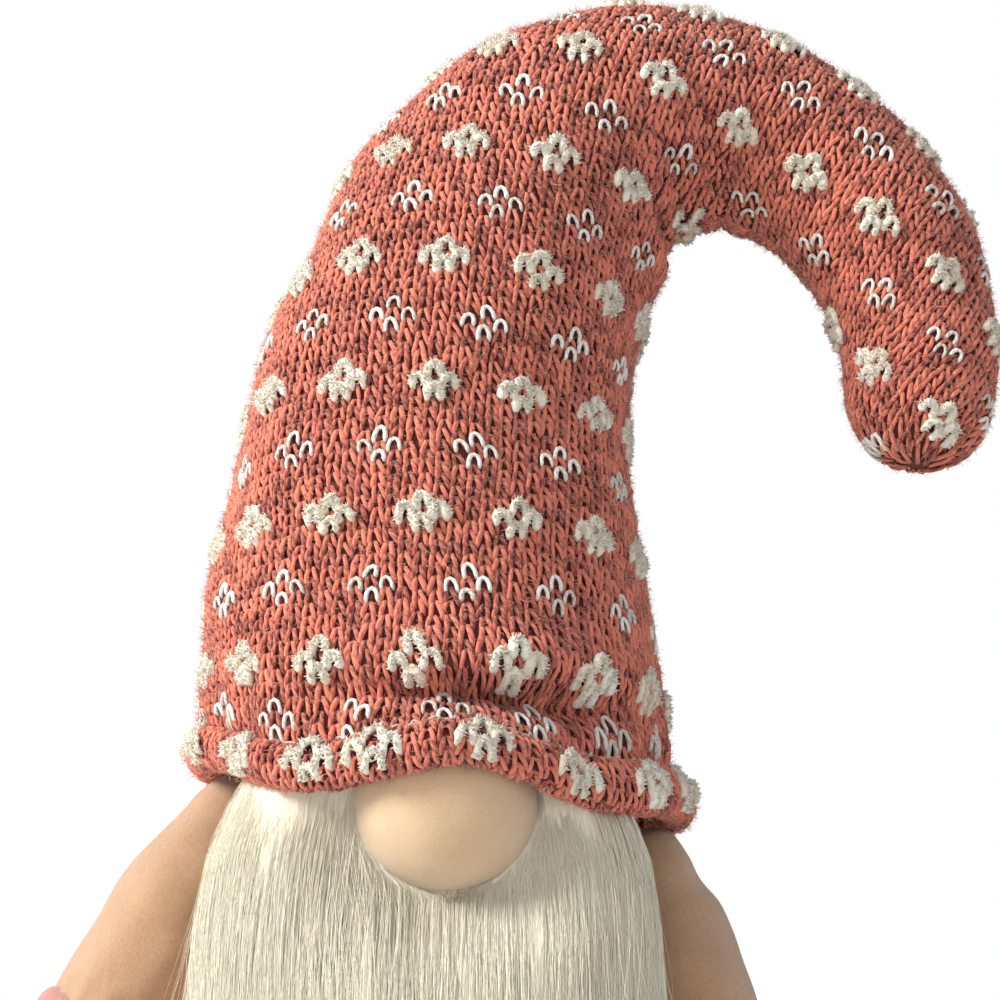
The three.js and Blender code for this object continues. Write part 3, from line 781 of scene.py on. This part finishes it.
# ------------------------------------------------------------------ the beard
# Half of the beard's width, and how far forwards its face lies, by height: (height, distance).
BEARD_WIDTH = np.array([
    [30, 2], [33, 15], [46, 32], [76, 47], [100, 51], [128, 52.2], [155, 52], [172, 50],
    [186, 45], [198, 38],
])
BEARD_FRONT = np.array([[28, 58], [62, 66], [105, 67], [140, 65], [168, 61], [188, 54], [198, 50]])
BEARD_MIDDLE = -1.5
BEARD_EDGE = 27  # how far forwards its side edges lie,
BEARD_EDGE_DEPTH = 6  # and how thick it is there
BEARD_TOP = 198
BEARD_ROOTS = {"top": 197, "reach": 130, "lowest": 62}  # the heights where strands start
BEARD_FLOOR = {"middle": 29, "sides": 14, "ragged": 9}  # the heights where they end
UNDER_FUR = 0.76  # the depth of the dense layer's face
NOSE_PRESS = {"depth": 11, "reach": 13}  # how the nose flattens the pile beside it
STRANDS = 3900  # in each of the objects of strands,
STRANDS_A_LOCK = 22
STRAND_DEPTHS = [(0.76, 0.79), (0.77, 0.80), (0.77, 0.82), (0.78, 0.84), (0.78, 0.90)]
STRAYS = 260
STRAY_DEPTHS = (0.9, 1.12)


def beard_width(height):
    return np.interp(height, BEARD_WIDTH[:, 0], BEARD_WIDTH[:, 1])


def beard_place(across, height, depth):
    """A point of the pile: across in mm, depth from 0 at the body to 1 at the pile's face."""
    bulge = np.sqrt(np.clip(1 - (across / (beard_width(height) + 3)) ** 2, 0.01, 1))
    inner = BEARD_EDGE + (np.maximum(body_radius(height) + 1, BEARD_EDGE) - BEARD_EDGE) * bulge
    face = np.interp(height, BEARD_FRONT[:, 0], BEARD_FRONT[:, 1])
    edge = BEARD_EDGE + BEARD_EDGE_DEPTH
    outer = edge + (face - edge) * bulge**0.9
    forwards = inner + (outer - inner) * depth
    return np.stack([across + BEARD_MIDDLE, -forwards, height + 0 * across], -1)


def around_nose(points, clearance):
    """Parts the pile round the nose, which also presses it flat about itself."""
    offset = points - NOSE_AT
    flat = np.linalg.norm(offset[..., [0, 2]], axis=-1)
    behind = np.clip(offset[..., 1] / NOSE_RADIUS, 0, 1)
    room = (NOSE_RADIUS + clearance) * np.sqrt(1 - behind**2)
    scale = np.where(flat < room, room / np.maximum(flat, 0.5), 1)
    pressed = NOSE_PRESS["depth"] * hump(np.clip(flat - NOSE_RADIUS, 0, None), NOSE_PRESS["reach"])
    pressed = pressed * np.clip(-offset[..., 1] / 12, 0, 1)
    moved = offset * np.stack([scale, np.ones_like(scale), scale], -1)
    moved[..., 1] += pressed
    return NOSE_AT + moved


def beard_locks(random, locks, depths):
    """How each lock lies; the strands that belong to it follow it."""
    return {
        "share": random.uniform(-1, 1, size=locks),
        "top": BEARD_ROOTS["top"] - BEARD_ROOTS["reach"] * random.beta(0.8, 1.3, size=locks),
        "depth": random.uniform(*depths, size=locks),
        "length": random.uniform(70, 125, size=locks),
        "lean": random.normal(0, 2.5, size=locks),
        "swing": random.normal(0, 1.6, size=locks),
        "turns": random.uniform(3, 8, size=locks),
        "start": random.uniform(0, TURN, size=locks),
    }


def strand_heights(random, share, start, length, steps):
    """How strands come down, shorter where they would pass the beard's ragged lower end."""
    height = start[:, None] - length[:, None] * steps
    lowest = BEARD_FLOOR["middle"] + BEARD_FLOOR["sides"] * np.abs(share)[:, None] ** 2
    lowest = lowest + random.uniform(0, BEARD_FLOOR["ragged"], size=(len(share), 1))
    return np.maximum(height, lowest + (start[:, None] - lowest) * (1 - steps) * 0.25)


def beard_strands(name, count, depths, seed, spread, thickness):
    """One object of long strands, gathered into locks."""
    random = np.random.default_rng(seed)
    locks = count // STRANDS_A_LOCK
    lock = beard_locks(random, locks, depths)
    owner = random.integers(0, locks, size=count)
    lock = {key: value[owner] for key, value in lock.items()}
    steps = np.linspace(0, 1, 9)[None]
    share = np.clip(lock["share"] + random.normal(0, 0.06, size=count), -1, 1)
    start = lock["top"] + random.normal(0, 6, size=count)
    start = np.clip(start, BEARD_ROOTS["lowest"], BEARD_TOP)
    length = lock["length"] * random.uniform(0.75, 1.1, size=count)
    height = strand_heights(random, share, start, length, steps)
    gather = 0.22 * steps**1.5
    own = share[:, None] * (1 - gather) + lock["share"][:, None] * gather
    across = own * beard_width(height) + lock["lean"][:, None] * steps**2
    bends = steps * random.uniform(2, 7, size=(count, 1))
    wave = spread * np.sin(bends + random.uniform(0, TURN, size=(count, 1)))
    swing = np.sin(steps * lock["turns"][:, None] + lock["start"][:, None])
    across = across + (wave + lock["swing"][:, None] * swing) * steps
    depth = lock["depth"][:, None] * np.clip(steps * 5, 0.15, 1)
    depth = depth + random.normal(0, 0.012, size=(count, 1))
    clearance = 0.3 + random.uniform(0, 1.4, size=(count, 1))
    points = around_nose(beard_place(across, height, depth), clearance)
    normals = np.broadcast_to(np.array([0.0, -1.0, 0.0]), points.shape) + 0.01 * points
    thick = thickness * random.uniform(0.7, 1.25, size=(count, 1)) * (1 - 0.8 * steps**2)
    tone = random.normal(0.6, 0.15, size=count)
    tone = np.clip(tone + random.normal(0, 0.1, size=locks)[owner], 0, 1)
    place = np.stack([share * 0.4 + 0.5, start / 220], -1)
    piece = tube_piece(name, points, normals, thick, 3, FUR, tone, place)
    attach(piece, "root")
    return piece


def beard_under_fur():
    """The pile's dense under layer, ridged like locks, thinner at its edges and lower end."""
    low, high = np.linspace(33, 60, 14), np.linspace(62, BEARD_TOP, 110)
    heights = np.concatenate([low, high])
    share = np.linspace(-1, 1, 181)
    across = share[None] * beard_width(heights)[:, None]
    tall = np.broadcast_to(heights[:, None], across.shape)
    locks = 0.035 * np.sin(share * 17 + 1.7 * np.sin(tall * 0.04))
    locks = locks + 0.018 * np.sin(share * 43 + 2 + tall * 0.03)
    ridges = 0.006 * np.sin(share * 131 + 2 + tall * 0.03)
    at_sides = np.sqrt(np.clip(1 - np.abs(share) ** 7, 0, 1))
    thin = 0.15 + 0.85 * np.clip((tall - 34) / 60, 0, 1) ** 0.7 * at_sides
    face = around_nose(beard_place(across, tall, (UNDER_FUR + locks + ridges) * thin), 0.2)
    back = beard_place(across, tall, np.full_like(across, 0.02))
    ring = np.concatenate([face, back[:, ::-1]], axis=1)
    under = grid_piece("beard_under_fur", ring, FUR, caps=(True, True))
    add_tone(under.data, np.full(len(under.data.vertices), 0.55))
    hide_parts("beard_fur")
    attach(under, "root")


def make_beard():
    """The under layer, the strands that cover it, and a few strays."""
    beard_under_fur()
    for number, depths in enumerate(STRAND_DEPTHS):
        beard_strands(f"beard_strands_{number + 1}", STRANDS, depths, 40 + number, 1.5, 0.055)
    beard_strands("beard_strays", STRAYS, STRAY_DEPTHS, 60, 6.0, 0.05)


# ------------------------------------------------------------------ the arms
ARMS = {
    "left": {"pivot": (-51, 0, 187.5), "splay": 30, "side": -1},
    "right": {"pivot": (52.5, 0, 174), "splay": 16, "side": 1},
}
# Outlines down an arm as (radius, distance below the pivot). The sleeve's is the CAD's.
SLEEVE = np.array([
    [3, -9.1], [7, -6.4], [9.5, 0], [10.4, 5], [11.2, 8], [13.2, 14], [14.8, 24], [15.2, 38],
    [15, 58],
])
MITTEN = np.array([
    [12.6, 56], [15.6, 58.2], [16.4, 62], [16.2, 67], [14.5, 69.5], [16.6, 80], [16, 89],
    [12.2, 96.5], [5, 99.8],
])
SLEEVE_FOLDS = {"size": 34, "height": 0.7, "seed": 5, "octaves": 3}
CUFF_GATHERS = {"count": 13, "height": 0.45, "at": 58, "reach": 6, "start": 1}
CUFF_WIDTH, CUFF_HEM = 0.78, 1.2  # how narrow the sleeve's closed end is, how far inside it lies
SLEEVE_SEAM = {"depth": 0.8, "width": 1.2, "radius": 15}
SLEEVE_SLACK = 0.3
MITTEN_FLAT = {"hand": 0.78, "more_at_wrist": 0.14, "wrist": 60, "reach": 5}
MITTEN_RIBS = {"count": 30, "height": 0.25, "at": 63, "reach": 4}
MITTEN_LUMPS = {"size": 26, "height": 0.4, "seed": 8, "octaves": 2}
THUMB = {"radius": 6.2, "half_length": 5.5, "lean": 0.75, "inwards": 3, "front": 12.5, "down": 76}
ARM_ANGLES = np.linspace(0, TURN, 73)[:-1]


def hang(arm, points):
    """Points down an arm, distance along -Z from its pivot, in the frame."""
    lean = math.radians(arm["splay"]) * arm["side"]
    x, y, z = points[..., 0], points[..., 1], points[..., 2]
    across = x * math.cos(lean) - z * math.sin(lean)
    up = x * math.sin(lean) + z * math.cos(lean)
    return np.stack([across, y, up], -1) + np.array(arm["pivot"])


def outline(profile, steps):
    """An outline's radii and distances below the pivot, smoothed, as two columns."""
    smooth = catmull_rom(profile, np.linspace(0, len(profile) - 1, steps))
    return smooth[:, 0][:, None], smooth[:, 1][:, None]


def make_sleeve(name, arm):
    """A stuffed sleeve with soft folds, a seam on its inner side and a gathered cuff."""
    angle = ARM_ANGLES
    radius, down = outline(SLEEVE, 90)
    places = turned(radius, angle, -down) + 40 * arm["side"]
    folds = waves(places, **SLEEVE_FOLDS) + gathers(angle, down, **CUFF_GATHERS)
    swell = (folds - SLEEVE_SLACK) * np.clip(radius / 12, 0, 1)
    inner = np.cos(angle - math.pi / 2 * -arm["side"])[None]
    from_seam = np.arccos(np.clip(inner, -1, 1)) * SLEEVE_SEAM["radius"]
    swell = swell - SLEEVE_SEAM["depth"] * hump(from_seam, SLEEVE_SEAM["width"])
    points = turned(radius + swell, angle, -down)
    end = points[-1:] * (CUFF_WIDTH, CUFF_WIDTH, 1) + (0, 0, CUFF_HEM)
    hung = hang(arm, np.concatenate([points, end]))[::-1]
    piece = grid_piece(f"sleeve_{name}_fleece", hung, FLEECE, caps=(True, True))
    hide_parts(f"sleeve_{name}")
    return piece


def make_mitten(name, arm):
    """A stuffed mitten, flatter than it is wide, with a ribbed wrist."""
    angle = ARM_ANGLES
    radius, down = outline(MITTEN, 80)
    flat = hump(down - MITTEN_FLAT["wrist"], MITTEN_FLAT["reach"])
    flat = MITTEN_FLAT["hand"] + MITTEN_FLAT["more_at_wrist"] * flat
    lumps = waves(turned(radius, angle, -down) * (1, -1, 1), **MITTEN_LUMPS)
    wide = radius + gathers(angle, down, **MITTEN_RIBS) + lumps * np.clip(radius / 12, 0, 1)
    points = turned(wide, angle, -down)
    points[..., 1] *= flat
    hung = hang(arm, points)[::-1]
    piece = grid_piece(f"mitten_{name}_fleece", hung, PINK, caps=(True, True))
    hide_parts(f"mitten_{name}")
    return piece


def make_thumb(name, arm):
    """The thumb, a short stuffed finger sewn to the palm."""
    radius, half = THUMB["radius"], THUMB["half_length"]
    along = (radius + half) * np.sin(np.linspace(-1, 1, 26) * math.pi / 2)
    centre = np.array([-arm["side"] * THUMB["inwards"], -THUMB["front"], -THUMB["down"]])
    way = np.array([0, -math.sin(THUMB["lean"]), -math.cos(THUMB["lean"])])
    path = hang(arm, centre + way * along[:, None])
    domed = np.clip((np.abs(along) - half) / radius, 0, 1)
    thick = radius * np.sqrt(np.clip(1 - domed**2, 0.004, 1))
    normals = np.broadcast_to(np.array([1.0, 0.2, 0.0]), path.shape)
    piece = tube_piece(f"thumb_{name}_fleece", path[None], normals[None], thick[None], 24, PINK)
    return piece


def make_arm(name, arm):
    """A sleeve, its mitten and the thumb, which all swing together."""
    sleeve = make_sleeve(name, arm)
    mitten = make_mitten(name, arm)
    thumb = make_thumb(name, arm)
    for piece in (sleeve, mitten, thumb):
        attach(piece, f"{name}_arm")


# ------------------------------------------------------------------ what the CAD shows as it is
def dress_cad_nodes():
    """The pieces whose CAD shape is right get a better material."""
    looks = {
        "base_pad": FELT, "hat_floor": FELT, "base_board": BOARD, "ballast_bag": COTTON,
        "beard_backing": COTTON, "neck_glue": GLUE, "neck_tie": SEWING, "nose_thread": SEWING,
        "shoulder_thread_left": SEWING, "shoulder_thread_right": SEWING,
        "hat_wire_lower": WIRE, "hat_wire_tip": WIRE,
    }
    for name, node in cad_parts.items():
        look = looks.get(name, FILLING if "stuffing" in name or name == "nose_core" else None)
        if look:
            node.data.materials.clear()
            node.data.materials.append(look)


def board_material():
    n = Nodes("hardboard")
    grain = n.noise(500, 5, 0.7)
    n.bump(grain, 0.2, 0.5)
    colour = n.ramp(grain, [(0.3, (0.20, 0.12, 0.06)), (0.7, (0.36, 0.24, 0.14))])
    return n.finish(colour, Roughness=0.75)


def glue_material():
    n = Nodes("glue")
    colour = n.ramp(n.noise(120), [(0.3, (0.70, 0.66, 0.50)), (0.7, (0.84, 0.80, 0.66))])
    return n.finish(colour, Roughness=0.35)


def wire_material():
    n = Nodes("wire")
    marks = n.noise(700, 2)
    n.bump(marks, 0.05, 0.3)
    colour = n.ramp(marks, [(0.3, (0.30, 0.30, 0.30)), (0.7, (0.45, 0.45, 0.46))])
    return n.finish(colour, Metallic=1.0, Roughness=0.4)


BOARD, GLUE, WIRE = board_material(), glue_material(), wire_material()


# ------------------------------------------------------------------ stage, light and camera
FLOOR_HALF = 3.0  # metres, as all lengths below
SURROUND_COLOUR, SURROUND_LIGHT = (0.93, 0.96, 1.0, 1), 0.5
LIT_AT = (0, 0, 0.25)
KEY = {"place": (-1.05, -0.55, 0.85), "size": 0.5, "power": 25, "colour": (1, 0.97, 0.91)}
FRONT_FILL = {"place": (0.1, -1.5, 0.5), "size": 1.2, "power": 3.5, "colour": (1, 1, 1)}
CAMERA_AT = (0.015, -0.510, 0.116)
CAMERA_LENS, CAMERA_SENSOR = 74, 36  # mm
CAMERA_LOOKS_UP = 16.6  # degrees


def area_light(name, place, size, power, colour):
    light = bpy.data.lights.new(name, "AREA")
    light.shape = "DISK"
    light.size = size
    light.energy = power
    light.color = colour
    lamp = bpy.data.objects.new(name, light)
    lamp.location = place
    away = lamp.location - Vector(LIT_AT)
    lamp.rotation_euler = away.to_track_quat("Z", "Y").to_euler()
    bpy.context.scene.collection.objects.link(lamp)


def make_stage():
    """A pale floor, a pale surround, a soft key from the upper left and a weak fill."""
    n = Nodes("floor_paper")
    colour = n.ramp(n.noise(30), [(0.3, (0.80, 0.79, 0.77)), (0.7, (0.84, 0.83, 0.81))])
    n.finish(colour, Roughness=0.9)
    corners = np.array([[-1, -1, 0], [1, -1, 0], [1, 1, 0], [-1, 1, 0]]) * FLOOR_HALF / MM
    floor = add_mesh("floor", corners, np.arange(4), np.array([4]), n.material)
    world = bpy.data.worlds.new("surround")
    bpy.context.scene.world = world
    world.use_nodes = True
    tree = world.node_tree
    shown = tree.nodes["Background"]
    shown.inputs["Color"].default_value = (1, 1, 1, 1)
    shown.inputs["Strength"].default_value = 1.0
    lit = tree.nodes.new("ShaderNodeBackground")
    lit.inputs["Color"].default_value = SURROUND_COLOUR
    lit.inputs["Strength"].default_value = SURROUND_LIGHT
    path = tree.nodes.new("ShaderNodeLightPath")
    mix = tree.nodes.new("ShaderNodeMixShader")
    tree.links.new(path.outputs["Is Camera Ray"], mix.inputs[0])
    tree.links.new(lit.outputs[0], mix.inputs[1])
    tree.links.new(shown.outputs[0], mix.inputs[2])
    tree.links.new(mix.outputs[0], tree.nodes["World Output"].inputs["Surface"])
    area_light("key", **KEY)
    area_light("front_fill", **FRONT_FILL)
    bpy.context.scene.view_settings.view_transform = "Standard"


def make_camera():
    """Low in front and looking up a little, so the hat towers over the nose."""
    camera = bpy.data.cameras.new("camera")
    camera.sensor_width = CAMERA_SENSOR
    camera.lens = CAMERA_LENS
    camera.clip_start = 0.01
    holder = bpy.data.objects.new("camera", camera)
    holder.location = CAMERA_AT
    holder.rotation_euler = (math.radians(90 + CAMERA_LOOKS_UP), 0, 0)
    bpy.context.scene.collection.objects.link(holder)
    bpy.context.scene.camera = holder


make_camera()
make_stage()
dress_cad_nodes()
make_hat()
make_body()
make_nose()
make_beard()
for name, arm in ARMS.items():
    make_arm(name, arm)
